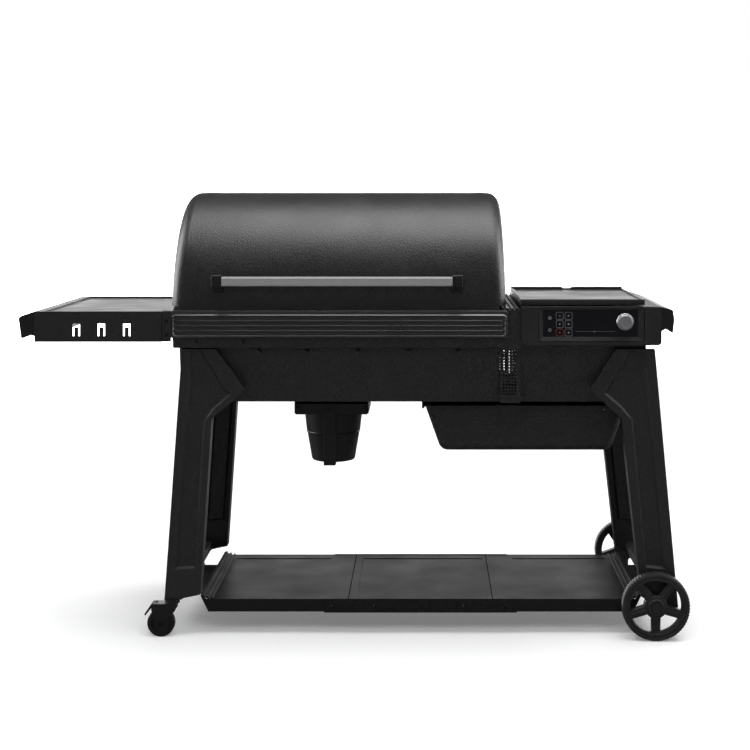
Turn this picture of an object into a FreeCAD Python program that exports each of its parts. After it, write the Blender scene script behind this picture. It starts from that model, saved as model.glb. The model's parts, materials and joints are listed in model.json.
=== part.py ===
import FreeCAD, Part

import math
import os
import re

import Sketcher
from FreeCAD import Placement, Rotation, Vector

# Pellet smoker grill, in millimetres.
# X runs from the side shelf to the hopper, Y from front to back and Z up.
# The origin is on the floor, in the middle of the overall length and depth.

SIZES = {
    # sheet metal and running clearances
    "skin": 2.0,
    "gap": 0.3,
    # cooking barrel
    "barrel_left": -497.0,
    "barrel_right": 398.0,
    "barrel_front": -290.0,
    "barrel_back": 264.0,
    "barrel_base": 640.0,
    "flange_top": 900.0,
    "band_base": 795.0,
    "ledge_inset": 26.0,
    "ledge_drop": 4.0,
    "belly_inset": 54.0,
    "back_top": 992.0,
    "side_notch": 190.0,
    "belly_left": 14.0,
    "liner_left": -480.5,
    "liner_right": 386.0,
    "liner_depth": 250.0,
    # lid
    "lid_left": -506.5,
    "lid_right": 417.0,
    "lid_back": 268.0,
    "lid_base": 908.0,
    "lid_top": 1219.0,
    "lid_front_radius": 303.0,
    "lid_back_radius": 110.0,
    "lid_corner": 38.0,
    "lid_lean": 8.0,
    "liner_inset": 14.0,
    "liner_skin": 1.5,
    "lid_seam": 73.0,
    "seam_width": 14.0,
    "seam_proud": 1.2,
    "lid_hinge_back": 279.0,
    "lid_hinge_up": 1003.0,
    "hinge_pin_radius": 4.0,
    # lid handle
    "handle_middle": -47.0,
    "handle_half": 341.5,
    "handle_cap": 28.0,
    "handle_front": -317.5,
    "handle_up": 977.5,
    # accessory rails
    "rail_left": -499.5,
    "rail_right": 416.5,
    "rail_base": 823.0,
    "rail_top": 897.0,
    "rail_front": -308.0,
    "side_rail_front": -310.0,
    "side_rail_back": 217.0,
    # side shelf
    "shelf_left": -869.5,
    "shelf_right": -525.0,
    "shelf_top": 896.0,
    "shelf_base": 813.0,
    # hopper cabinet
    "hopper_left": 454.5,
    "hopper_right": 836.0,
    "hopper_front": -290.0,
    "hopper_back": 250.0,
    "hopper_base": 803.0,
    "hopper_top": 908.0,
    "cabinet_right": 800.0,
    "fascia_front": -306.0,
    "hopper_lid_left": 450.5,
    "hopper_lid_right": 795.5,
    "hopper_lid_back": 160.0,
    "hopper_lid_top": 927.0,
    "display_left": 501.0,
    "display_right": 789.0,
    "knob_across": 736.5,
    "knob_up": 867.0,
    # legs and bottom shelf
    "leg_front": 278.0,
    "leg_depth": 42.0,
    "leg_base": 107.0,
    "leg_top": 790.0,
    "tray_left": -428.0,
    "tray_right": 788.5,
    "tray_front": -252.0,
    "tray_back": 210.0,
    "tray_base": 63.0,
    "tray_top": 98.0,
    "deck_top": 97.5,
    "deck_left": -400.0,
    "deck_right": 760.0,
    # wheels and casters
    "wheel_radius": 92.6,
    "wheel_width": 34.0,
    "wheel_across": 819.9,
    "wheel_face": 316.5,
    "axle_radius": 6.0,
    "caster_radius": 37.5,
    "caster_across": -503.5,
    "caster_trail": 30.0,
    "caster_back": 262.0,
    # grates and fire system
    "grate_width": 838.0,
    "grate_middle": -47.3,
    "pot_across": -76.0,
    "fire_back": -20.0,
    "auger_up": 671.0,
    "feed_left": 556.0,
    "feed_right": 632.0,
    # keg and bin
    "keg_radius": 85.0,
    "collar_half": 106.0,
    "keg_top": 590.0,
    "keg_base": 441.0,
    "bin_left": 191.0,
    "bin_right": 760.0,
    "bin_front": -190.0,
    "bin_back": 190.0,
    "bin_top": 622.0,
    "bin_base": 493.0,
}

PLANES = {"XY": "XY_Plane", "XZ": "XZ_Plane", "YZ": "YZ_Plane"}
TURNS = {
    "X": Rotation(Vector(0, 1, 0), 90),
    "Y": Rotation(Vector(1, 0, 0), -90),
    "Z": Rotation(),
}

doc = FreeCAD.newDocument("PelletGrill")
sheet = doc.addObject("Spreadsheet::Sheet", "Sizes")
for row, (alias, number) in enumerate(SIZES.items(), 1):
    sheet.set(f"A{row}", alias)
    sheet.set(f"B{row}", str(number))
    sheet.setAlias(f"B{row}", alias)
doc.recompute()


def bound(text):
    """The same expression with every size name pointing at its cell."""
    def cell(word):
        return f"Sizes.{word.group()}" if word.group() in SIZES else word.group()

    return re.sub(r"[a-z_]+", cell, str(text))


def fresh(label):
    """An object name that isn't taken yet."""
    number = 1
    while doc.getObject(f"{label}_{number}"):
        number += 1
    return f"{label}_{number}"


# ---------------------------------------------------------------- primitives and booleans
def box(x, y, z, label="block"):
    """A block between three pairs of expressions."""
    solid = doc.addObject("Part::Box", fresh(label))
    for side, axis, (low, high) in (("Length", "x", x), ("Width", "y", y), ("Height", "z", z)):
        solid.setExpression(side, bound(f"({high}) - ({low})"))
        solid.setExpression(f"Placement.Base.{axis}", bound(f"{low}"))
    return solid


def rod(axis, radius, x, y, z, label="rod"):
    """A cylinder along one axis, whose coordinate is a pair of expressions."""
    solid = doc.addObject("Part::Cylinder", fresh(label))
    solid.Placement = Placement(Vector(), TURNS[axis])
    solid.setExpression("Radius", bound(radius))
    for letter, place in (("X", x), ("Y", y), ("Z", z)):
        start = place
        if letter == axis:
            start, end = place
            solid.setExpression("Height", bound(f"({end}) - ({start})"))
        solid.setExpression(f"Placement.Base.{letter.lower()}", bound(start))
    return solid


def fuse(*solids):
    joined = doc.addObject("Part::MultiFuse", fresh("joined"))
    joined.Shapes = list(solids)
    return joined


def cut(base, *tools):
    result = doc.addObject("Part::Cut", fresh("cut"))
    result.Base = base
    result.Tool = fuse(*tools) if len(tools) > 1 else tools[0]
    return result


def common(base, tool):
    result = doc.addObject("Part::Common", fresh("common"))
    result.Base = base
    result.Tool = tool
    return result


def group(*solids):
    """Separate solids that share one node."""
    result = doc.addObject("Part::Compound", fresh("group"))
    result.Links = list(solids)
    return result


def mirrored(source, normal, plane=0.0):
    """The mirror image of a solid in the plane x, y or z = plane."""
    result = doc.addObject("Part::Mirroring", fresh("mirrored"))
    result.Source = source
    result.Normal = normal
    axis = "xyz"[[abs(part) for part in normal].index(1)]
    result.setExpression(f"Base.{axis}", bound(plane))
    return result


def node(label, shape):
    """Gives a finished sub-part the name of its file."""
    shape.Label = label
    NODES.append(shape)
    return shape


NODES = []


# ---------------------------------------------------------------- sketched bodies
def outline(body, plane, points):
    """A closed sketch of straight sides on one origin plane, every corner bound to its two expressions."""
    sketch = body.newObject("Sketcher::SketchObject", fresh("outline"))
    support = next(f for f in body.Origin.OriginFeatures if f.Role == PLANES[plane])
    sketch.AttachmentSupport = [(support, "")]
    sketch.MapMode = "FlatFace"
    count = len(points)
    corners = [Vector(10 * math.cos(turn * math.tau / count), 10 * math.sin(turn * math.tau / count), 0)
               for turn in range(count)]
    for index, start in enumerate(corners):
        sketch.addGeometry(Part.LineSegment(start, corners[(index + 1) % count]), False)
    for index in range(count):
        sketch.addConstraint(Sketcher.Constraint("Coincident", index, 2, (index + 1) % count, 1))
    for index, (across, up) in enumerate(points):
        for kind, place in (("DistanceX", across), ("DistanceY", up)):
            number = sketch.addConstraint(Sketcher.Constraint(kind, -1, 1, index, 1, 5.0))
            sketch.setExpression(f"Constraints[{number}]", bound(place))
    return sketch


def pad(plane, points, start, end, label="plate"):
    """A body with one outline padded from start to end along the plane's normal axis."""
    body = doc.addObject("PartDesign::Body", fresh(label))
    feature = body.newObject("PartDesign::Pad", fresh("pad"))
    feature.Profile = outline(body, plane, points)
    feature.setExpression("Length", bound(f"({end}) - ({start})"))
    feature.Reversed = plane == "XZ"
    axis = {"XY": "z", "XZ": "y", "YZ": "x"}[plane]
    body.setExpression(f"Placement.Base.{axis}", bound(start))
    body.Tip = feature
    return body


def names(body, kind, test):
    """The names of the faces or edges of a body's tip that pass a test, in the body's own coordinates."""
    doc.recompute()
    shape = body.Tip.Shape
    return [f"{kind}{number}" for number, item in enumerate(getattr(shape, kind + "s"), 1) if test(item)]


def dress(body, kind, prefix, item, test, **settings):
    """Adds a fillet, chamfer or sheet feature to the faces or edges of a body that pass a test."""
    base = (body.Tip, names(body, item, test))
    feature = body.newObject(f"PartDesign::{kind}", fresh(prefix))
    feature.Base = base
    for setting, size in settings.items():
        feature.setExpression(setting, bound(size))
    body.Tip = feature
    return feature


def fillet(body, radius, test):
    dress(body, "Fillet", "fillet", "Edge", test, Radius=radius)
    return body


def chamfer(body, size, test):
    dress(body, "Chamfer", "chamfer", "Edge", test, Size=size)
    return body


def hollow(body, wall, test):
    """Turns a solid body into sheet metal of one thickness, open at the faces that pass the test."""
    feature = dress(body, "Thickness", "sheet", "Face", test, Value=wall)
    feature.Reversed = True
    feature.Join = 1
    return body


def along(axis):
    """A test for straight edges parallel to an axis."""
    unit = {"X": Vector(1, 0, 0), "Y": Vector(0, 1, 0), "Z": Vector(0, 0, 1)}[axis]

    def test(edge):
        if not isinstance(edge.Curve, Part.Line):
            return False
        return edge.Curve.Direction.cross(unit).Length < 1e-6
    return test


def facing(x, y, z):
    """A test for flat faces whose outward normal is near a direction."""
    wanted = Vector(x, y, z).normalize()

    def test(face):
        return isinstance(face.Surface, Part.Plane) and (face.normalAt(0, 0) - wanted).Length < 0.05
    return test


def near(test, x=None, y=None, z=None, reach=2.0):
    """Narrows a test to items whose centre lies near the given coordinates."""
    def both(item):
        centre = item.CenterOfMass
        places = zip((x, y, z), centre)
        return test(item) and all(wanted is None or abs(wanted - place) < reach for wanted, place in places)
    return both


def revolve(points, axis_place, label="turned"):
    """A body of revolution about a vertical axis: points are radius and height pairs."""
    body = doc.addObject("PartDesign::Body", fresh(label))
    feature = body.newObject("PartDesign::Revolution", fresh("revolve"))
    sketch = outline(body, "XZ", points)
    feature.Profile = sketch
    feature.ReferenceAxis = (sketch, ["V_Axis"])
    feature.Angle = 360
    for axis, place in zip("xyz", axis_place):
        body.setExpression(f"Placement.Base.{axis}", bound(place))
    body.Tip = feature
    return body


# ---------------------------------------------------------------- barrel
def lower_profile(inset):
    """Front and back outline of the barrel and the hopper cabinet below the band, inset from the skin."""
    return [
        (f"barrel_front + ledge_inset + {inset}", f"band_base - ledge_drop + {inset}"),
        (f"barrel_front + belly_inset + {inset}", f"barrel_base + {inset}"),
        (f"-barrel_front - belly_inset - {inset}", f"barrel_base + {inset}"),
        (f"barrel_back - {inset}", f"band_base - ledge_drop + {inset}"),
    ]


def barrel_profile(inset, top):
    return [
        (f"barrel_front + {inset}", top),
        (f"barrel_front + {inset}", f"band_base + {inset}"),
        *lower_profile(inset),
        (f"barrel_back - {inset}", "back_top" if inset == "0" else "back_top + 5"),
        ("side_notch + 60", "back_top" if inset == "0" else "back_top + 5"),
        ("side_notch", top),
    ]


def barrel():
    outside = pad("YZ", barrel_profile("0", "flange_top"), "barrel_left + skin", "barrel_right - skin",
                  "barrel")
    inside = pad("YZ", [
        ("barrel_front + skin", "flange_top + 5"),
        ("barrel_front + skin", "band_base + skin"),
        *lower_profile("skin"),
        ("barrel_back - skin", "back_top + 5"),
        ("side_notch", "back_top + 5"),
        ("side_notch", "flange_top + 5"),
    ], "barrel_left - 5", "barrel_right + 5")
    drain = rod("Z", 45, "pot_across", "fire_back", ("barrel_base - 5", "barrel_base + 10"))
    slot = box(("pot_across - 150", "pot_across + 150"), ("barrel_back - 10", "barrel_back + 5"),
               (905, 935))
    step = box(("barrel_left - 5", "barrel_left + belly_left + skin"),
               ("barrel_front + ledge_inset", "barrel_back"),
               ("barrel_base - 5", "band_base - ledge_drop + skin"))
    bumps = [rod("Y", 5, x, ("barrel_front + 4", "barrel_front + ledge_inset + 4"), "band_base - 13")
             for x in (-264, -133, 7, 145, 284)]
    shell = cut(outside, inside, drain, slot, step)
    return node("barrel_shell", fuse(shell, *bumps))


def barrel_ends():
    """The two end panels, outside the wrapped shell: the left one steps in below the band, the right one
    has the auger's hole."""
    def panel(start, end):
        return pad("YZ", barrel_profile("0", "flange_top"), start, end, "end_panel")

    depth = ("barrel_front - 5", "barrel_back + 5")
    step_low = "band_base - ledge_drop"
    upper = common(panel("barrel_left", "barrel_left + skin"),
                   box(("barrel_left - 5", "barrel_left + 5"), depth, (step_low, "back_top + 5")))
    belly = common(panel("barrel_left + belly_left", "barrel_left + belly_left + skin"),
                   box(("barrel_left", "barrel_left + belly_left + 5"), depth, ("barrel_base", step_low)))
    shelf = box(("barrel_left", "barrel_left + belly_left + skin"),
                ("barrel_front + ledge_inset", "barrel_back"),
                (step_low, f"{step_low} + skin"))
    left = fuse(upper, cut(belly, box(("barrel_left", 0), depth, (step_low, 800))), shelf)
    right = cut(panel("barrel_right - skin", "barrel_right"),
                rod("X", 20.5, ("barrel_right - 10", "barrel_right + 10"), "fire_back", "auger_up"))
    return node("barrel_end_panels", group(left, right))


def liner():
    """Stainless inner box of four walls, with inward ledges for the baffle, the tray and the lower grate.

    On each side a bracket with a hooked top carries the upper grate.
    """
    sheet_width = "1.5"
    left, right, depth = "liner_left", "liner_right", "liner_depth"
    tall = (760, 896)
    panels = [box((left, right), span, tall)
              for span in ((f"-{depth}", f"{sheet_width} - {depth}"), (f"{depth} - {sheet_width}", depth))]
    panels += [box(span, (f"{sheet_width} - {depth}", f"{depth} - {sheet_width}"), tall)
               for span in ((left, f"{left} + {sheet_width}"), (f"{right} - {sheet_width}", right))]
    for base, reach in ((760.5, 55), (796, 40), (836, 25)):
        across = (f"{left} + {sheet_width}", f"{right} - {sheet_width}")
        up = (base, f"{base} + {sheet_width}")
        panels += [box(across, span, up) for span in
                   ((f"{sheet_width} - {depth}", f"{reach} - {depth}"),
                    (f"{depth} - {reach}", f"{depth} - {sheet_width}"))]
        panels += [box(span, (f"{reach} - {depth}", f"{depth} - {reach}"), up) for span in
                   ((f"{left} + {sheet_width}", f"{left} + {reach}"),
                    (f"{right} - {reach}", f"{right} - {sheet_width}"))]
    rest = (-90, 125)
    panels += [box(span, rest, (896, 984)) for span in ((left, f"{left} + 3"), (f"{right} - 3", right))]
    panels += [box(span, rest, (981, 984)) for span in
               ((f"{left} + 3", f"{left} + 20"), (f"{right} - 20", f"{right} - 3"))]
    return node("barrel_liner", group(*panels))


def baffle_and_tray():
    plate = pad("YZ", [(-190, 762), (190, 762), (212, 778), (212, 780), (189, 764), (-189, 764),
                       (-212, 780),
                       (-212, 778)], -440, 341, "baffle")
    node("heat_baffle", plate)
    floor = box((-455, 356), (-222, 222), (797.8, 799.3))
    walls = [box((-455, 356), span, (799.3, 814)) for span in ((-222, -220.5), (220.5, 222))]
    walls += [box(span, (-220.5, 220.5), (799.3, 814)) for span in ((-455, -453.5), (354.5, 356))]
    node("drip_tray", group(floor, *walls))


def grate(label, low, depth, bars):
    """A welded grate: a round frame, a cross wire in the middle and thin bars from front to back."""
    left, right = "grate_middle - grate_width / 2", "grate_middle + grate_width / 2"
    front, back = f"{depth[0]} + 3", f"{depth[1]} - 3"
    wires = [rod("X", 3, (f"{left} + 3", f"{right} - 3"), y, f"{low} + 3")
             for y in (front, f"({depth[0]} + {depth[1]}) / 2", back)]
    wires += [rod("Y", 3, x, (front, back), f"{low} + 3") for x in (f"{left} + 3", f"{right} - 3")]
    for number in range(1, bars):
        across = f"{left} + 3 + {number} * (grate_width - 6) / {bars}"
        wires.append(rod("Y", 2, across, (front, back), f"{low} + 4.5"))
    return node(label, fuse(*wires))


def fire_system():
    pot = cut(rod("Z", 58, "pot_across", "fire_back", ("barrel_base + skin", 752)),
              rod("Z", 55, "pot_across", "fire_back", ("barrel_base + 12", 760)),
              rod("X", 20.5, ("pot_across", "pot_across + 90"), "fire_back", "auger_up"),
              rod("Y", 5, "pot_across", ("fire_back - 90", "fire_back"), 675),
              rod("Z", 30, "pot_across", "fire_back", ("barrel_base", 700)))
    node("fire_pot", pot)
    node("igniter_rod", rod("Y", 4.9, "pot_across", ("fire_back - 110", "fire_back - 50"), 675))
    node("auger_tube", cut(
        rod("X", 20, ("pot_across + 52", 640), "fire_back", "auger_up"),
        rod("X", 17.5, ("pot_across + 40", 636), "fire_back", "auger_up"),
        rod("X", 6.5, (630, 645), "fire_back", "auger_up"),
        box(("feed_left + 4", "feed_right - 4"), ("fire_back - 12", "fire_back + 12"),
            ("auger_up + 5", "auger_up + 30"))))
    node("auger_screw", auger())
    motor = fuse(box((640, 696), ("fire_back - 30", "fire_back + 30"), ("auger_up - 29", "auger_up + 26")),
                 rod("X", 26, (696, 762), "fire_back", "auger_up"))
    node("auger_motor", cut(motor, rod("X", 6.05, (638, 682), "fire_back", "auger_up")))


def auger():
    """A shaft with a ramped ribbon, made as a stack of short turned flights along its length."""
    flights = [rod("X", 6, ("pot_across + 62", 680), "fire_back", "auger_up")]
    pitch, turns, steps = 36.0, 17, 8
    for number in range(turns * steps):
        turned = Rotation(Vector(1, 0, 0), 360.0 * number / steps)
        corner = turned.multVec(Vector(0, -3.5, 5.0))
        blade = doc.addObject("Part::Box", fresh("blade"))
        blade.Length, blade.Width, blade.Height = pitch / steps + 1.2, 7.0, 11.0
        blade.Placement = Placement(Vector(), turned)
        blade.setExpression("Placement.Base.x", bound(f"pot_across + 66 + {number * pitch / steps}"))
        blade.setExpression("Placement.Base.y", bound(f"fire_back + {corner.y}"))
        blade.setExpression("Placement.Base.z", bound(f"auger_up + {corner.z}"))
        flights.append(blade)
    return fuse(*flights)


def blower():
    """Combustion fan at the back of the hopper cabinet: a scroll housing with a bladed wheel in it."""
    x, y, z = 500, 170, 720
    housing = cut(rod("X", 50, (x, x + 46), y, z),
                  rod("X", 47, (x + 2, x + 44), y, z),
                  rod("X", 24, (x - 5, x + 10), y, z),
                  rod("X", 4, (x + 40, x + 50), y, z))
    motor = cut(rod("X", 22, (x + 46, x + 80), y, z), rod("X", 3.05, (x + 40, x + 70), y, z))
    foot = box((x + 10, x + 36), (y - 14, y + 14), ("barrel_base + skin", z - 48.5), "foot")
    node("blower_housing", fuse(housing, motor, foot))
    blades = [rod("X", 3, (x + 30, x + 69), y, z), rod("X", 40, (x + 36, x + 39), y, z)]
    for number in range(12):
        turned = Rotation(Vector(1, 0, 0), 30.0 * number)
        corner = turned.multVec(Vector(0, -1, 28))
        vane = doc.addObject("Part::Box", fresh("vane"))
        vane.Length, vane.Width, vane.Height = 30, 2, 12
        vane.Placement = Placement(Vector(x + 8, y + corner.y, z + corner.z), turned)
        blades.append(vane)
    node("blower_wheel", fuse(*blades))


# ---------------------------------------------------------------- lid
def lid_block(inset):
    """The lid's form, or the same form drawn inset from it: a quarter-round front, leaning ends and soft
    corners.  It runs on below the lid's own lower edge."""
    base = "lid_base - 20"
    inset = f"({inset})"
    body = pad("YZ", [
        (f"barrel_front + {inset}", base),
        (f"lid_back - {inset}", base),
        (f"lid_back - {inset}", f"lid_top - {inset}"),
        (f"barrel_front + {inset}", f"lid_top - {inset}"),
    ], f"lid_left + {inset}", f"lid_right - {inset}", "lid")

    def upper(side):
        return lambda edge: along("X")(edge) and edge.CenterOfMass.z > 1150 and edge.CenterOfMass.y * side > 0

    fillet(body, f"lid_front_radius - {inset}", upper(-1))
    fillet(body, f"lid_back_radius - {inset}", upper(1))
    for near_end, out in (("0", -1), (f"lid_right - lid_left - 2 * {inset}", 1)):
        profile = outline(body, "XZ", [
            (near_end, base),
            (f"{near_end} - {out} * lid_lean", f"lid_top - {inset}"),
            (f"{near_end} + {out} * 30", f"lid_top - {inset}"),
            (f"{near_end} + {out} * 30", base),
        ])
        lean = body.newObject("PartDesign::Pocket", fresh("lean"))
        lean.Profile = profile
        lean.Type = "ThroughAll"
        lean.Midplane = True
        body.Tip = lean

    def rim(edge):
        return edge.CenterOfMass.z > SIZES["lid_base"] - 18 and not along("X")(edge)

    return fillet(body, f"lid_corner - {inset}", rim)


def lid_zone(span, rise=0, label="zone"):
    """All above the lid's lower edge, which climbs towards the hinge, between two places along X."""
    return pad("YZ", [
        ("barrel_front - 20", f"lid_base + {rise}"),
        ("side_notch - 12", f"lid_base + {rise}"),
        ("lid_back - 18", f"lid_base + 92 + {rise}"),
        ("lid_back + 20", f"lid_base + 92 + {rise}"),
        ("lid_back + 20", "lid_top + 20"),
        ("barrel_front - 20", "lid_top + 20"),
    ], *span, label)


def lid_shell(outer, inner, zone):
    """Sheet metal between two insets of the lid's form, kept inside a zone."""
    return common(cut(lid_block(outer), lid_block(inner)), zone)


def lid():
    seam_left, seam_right = "lid_left + lid_seam", "lid_right - lid_seam"
    node("lid_centre_sheet", lid_shell("seam_proud", "seam_proud + skin",
                                       lid_zone((seam_left, seam_right))))
    caps = []
    for cap, band in ((("lid_left - 20", seam_left), (f"{seam_left} - seam_width", seam_left)),
                      ((seam_right, "lid_right + 20"), (seam_right, f"{seam_right} + seam_width"))):
        caps.append(fuse(lid_shell("seam_proud", "seam_proud + skin", lid_zone(cap)),
                         lid_shell("0", "seam_proud", lid_zone(band))))
    node("lid_end_caps", group(*caps))
    whole = ("lid_left - 20", "lid_right + 20")
    inner = "liner_inset + liner_skin"
    rim = cut(lid_zone(whole, 4), lid_zone(whole, 5.5))
    node("lid_liner", fuse(lid_shell("liner_inset", inner, lid_zone(whole, 4)),
                           lid_shell("seam_proud + skin", inner, rim)))


def handle():
    ends = ("handle_middle - handle_half", "handle_middle + handle_half")
    bar = pad("YZ", [("handle_front", "handle_up - 9"), ("handle_front", "handle_up + 8"),
                     ("handle_front + 5", "handle_up + 12.5"), ("handle_front + 17", "handle_up + 12.5"),
                     ("handle_front + 17", "handle_up - 12.5"), ("handle_front + 4", "handle_up - 12.5")],
              f"{ends[0]} + handle_cap", f"{ends[1]} - handle_cap", "bar")
    node("lid_handle_bar", bar)
    brackets = []
    for start, end in ((ends[0], f"{ends[0]} + handle_cap"), (f"{ends[1]} - handle_cap", ends[1])):
        cap = chamfer(pad("YZ", [
            ("handle_front", "handle_up - 15.5"), ("handle_front", "handle_up + 16.5"),
            ("handle_front + 60", "handle_up + 16.5"), ("handle_front + 60", "handle_up - 32"),
            ("handle_front + 24", "handle_up - 32"), ("handle_front + 20", "handle_up - 15.5"),
        ], start, end, "handle_bracket"), 2, near(along("X"), y=SIZES["handle_front"], reach=1.0))
        brackets.append(cut(cap, lid_block("seam_proud")))
    node("lid_handle_brackets", group(*brackets))


HINGE_PLACES = (-380, 210)
HINGE_LENGTH = 80


def lid_hinges():
    knuckles, fixed = [], []
    for start in HINGE_PLACES:
        end = start + HINGE_LENGTH
        strap = box((start + 12, end - 12), ("lid_back - seam_proud", "lid_back + 2"),
                    ("lid_hinge_up + 6", "lid_hinge_up + 60"), "strap")
        web = box((start + 12, end - 12), ("lid_back - seam_proud", "lid_hinge_back"),
                  ("lid_hinge_up + 4", "lid_hinge_up + 9"), "web")
        knuckle = rod("X", 9, (start + 12, end - 12), "lid_hinge_back", "lid_hinge_up")
        bore = rod("X", "hinge_pin_radius + 0.05", (start, end), "lid_hinge_back", "lid_hinge_up")
        knuckles.append(cut(fuse(strap, web, knuckle), bore))
        pin = rod("X", "hinge_pin_radius", (start, end), "lid_hinge_back", "lid_hinge_up")
        ears = [fuse(box(span, ("barrel_back", "lid_hinge_back"),
                         ("lid_hinge_up - 40", "lid_hinge_up - 5")),
                     rod("X", 9, span, "lid_hinge_back", "lid_hinge_up"))
                for span in ((start, start + 11), (end - 11, end))]
        ties = [box(span, ("lid_hinge_back - 9", "lid_hinge_back + 9"),
                    ("lid_hinge_up - 18", "lid_hinge_up"))
                for span in ((start, start + 11), (end - 11, end))]
        fixed.append(fuse(pin, *ears, *ties))
    node("lid_hinge_knuckles", group(*knuckles))
    return fixed


# ---------------------------------------------------------------- rails and side shelf
def front_rail():
    body = pad("XZ", [("rail_left", "rail_base"), ("rail_right", "rail_base"), ("rail_right", "rail_top"),
                      ("rail_left", "rail_top")], "rail_front", "barrel_front", "front_rail")
    fillet(body, 12, along("Y"))
    field = box(("rail_left + 8", "rail_right - 8"), ("rail_front - 5", "rail_front + 6"),
                ("rail_base + 8", "rail_top - 8"))
    ridges = [pad("YZ", [("rail_front + 6", f"{up} - 6"), ("rail_front + 6", f"{up} + 6"),
                         ("rail_front + 1", f"{up} + 3.5"), ("rail_front + 1", f"{up} - 3.5")],
                  "rail_left + 8", "rail_right - 8", "ridge")
              for up in ("rail_base + 23", "rail_base + 37", "rail_base + 51")]
    node("front_rail", fuse(cut(body, field), *ridges))


def side_rails():
    """Hooked extrusions run front to back, with a rib along each outer face."""
    left = [(-869.5, 896), (-907, 883), (-912.5, 877), (-905.5, 825), (-901.5, 823), (-882.5, 833),
            (-869.5, 829)]
    right = [(836, 908), (866.5, 899), (870.5, 873), (866, 836), (846.5, 848), (836, 842)]
    grooves_left = [box((-920, -908.8), ("side_rail_front + 6", "side_rail_back - 6"), (up, up + 4))
                    for up in (846, 858, 870)]
    left_rail = cut(pad("XZ", left, "side_rail_front", "side_rail_back", "rail"), *grooves_left)
    grooves_right = [box((867.5, 880), ("side_rail_front + 6", "side_rail_back - 6"), (up, up + 4))
                     for up in (856, 868, 880)]
    right_rail = cut(pad("XZ", right, "side_rail_front + 4", "side_rail_back", "rail"), *grooves_right)
    node("side_rails", group(left_rail, right_rail))


def side_shelf():
    body = pad("XY", [("shelf_left", "side_rail_front"), ("shelf_right", "side_rail_front"),
                      ("shelf_right", "side_rail_back"), ("shelf_left", "side_rail_back")],
               "shelf_base", "shelf_top - 4", "side_shelf")
    hollow(body, "skin", facing(0, 0, -1))
    rim = cut(box(("shelf_left", "shelf_right"), ("side_rail_front", "side_rail_back"),
                  ("shelf_top - 4", "shelf_top")),
              box(("shelf_left + 25", "shelf_right - 8"), ("side_rail_front + 8", "side_rail_back - 8"),
                  ("shelf_top - 10", "shelf_top + 10")))
    windows, tongues = [], []
    for middle in (-755.5, -687.5, -618.5):
        windows.append(box((middle - 10, middle + 10), ("side_rail_front - 5", "side_rail_front + 5"),
                           (829, 863)))
        tongues.append(box((middle - 5.5, middle + 5.5), ("side_rail_front", "side_rail_front + 2"),
                           (829, 853)))
    top = fuse(cut(fuse(body, rim), *windows), *tongues)
    plates = [box(("shelf_right", end), (f"{start} - 3", start), ("shelf_base", "shelf_top"))
              for end, start in (("rail_left", "side_rail_front + 9"),
                                 ("barrel_left", "side_rail_back - 6"))]
    plates.append(box(("shelf_right", "shelf_right + 3"), ("side_rail_front + 9", "side_rail_back - 9"),
                      ("shelf_base", "shelf_top")))
    plates.append(box(("barrel_left - 3", "barrel_left"), ("side_rail_front + 30", "side_rail_back - 9"),
                      ("shelf_base", "shelf_top - 4")))
    plates.append(box(("shelf_right", "barrel_left"), ("side_rail_front + 20", "side_rail_back - 9"),
                      ("shelf_top - 4", "shelf_top")))
    node("side_shelf", group(top, fuse(*plates)))


# ---------------------------------------------------------------- gap between barrel and hopper
def gap_parts():
    cover = box(("barrel_right", "hopper_left"), ("barrel_front", "hopper_back"),
                ("flange_top - 6", "flange_top - 2"))
    front = box(("barrel_right", "hopper_left"), ("barrel_front", "barrel_front + 3"),
                ("band_base - ledge_drop", "flange_top - 6"))
    ribs = [box((x, x + 7), ("barrel_front", "hopper_back"), ("flange_top - 2", "flange_top + 3"))
            for x in (402, 415, 428, 441)]
    panel = box(("barrel_right", "hopper_left"),
                ("barrel_front + ledge_inset", "barrel_front + ledge_inset + 2"),
                ("barrel_base", "band_base - ledge_drop"))
    holes = [rod("Y", 2.6, x, ("barrel_front", "barrel_front + 60"), 665 + 8.4 * row)
             for x in (408, 416, 424, 432, 440) for row in range(15)]
    front_panel = cut(panel, *holes)
    node("gap_panels", group(fuse(cover, front, *ribs), front_panel,
                             mirrored(front_panel, Vector(0, 1, 0))))


# ---------------------------------------------------------------- hopper
def frustum(low, high, base, top, label="funnel"):
    """A tapered block: low and high are its x and y spans at the base and the top."""
    solid = doc.addObject("Part::Wedge", fresh(label))
    solid.Placement = Placement(Vector(), Rotation(Vector(1, 0, 0), 90))
    (low_left, low_right), (low_front, low_back) = low
    (high_left, high_right), (high_front, high_back) = high
    for setting, place in (
        ("Xmax", low_right), ("Xmin", low_left), ("Zmax", f"-({low_front})"), ("Zmin", f"-({low_back})"),
        ("X2max", high_right), ("X2min", high_left), ("Z2max", f"-({high_front})"),
        ("Z2min", f"-({high_back})"),
        ("Ymax", top), ("Ymin", base),
    ):
        solid.setExpression(setting, bound(place))
    return solid


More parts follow.
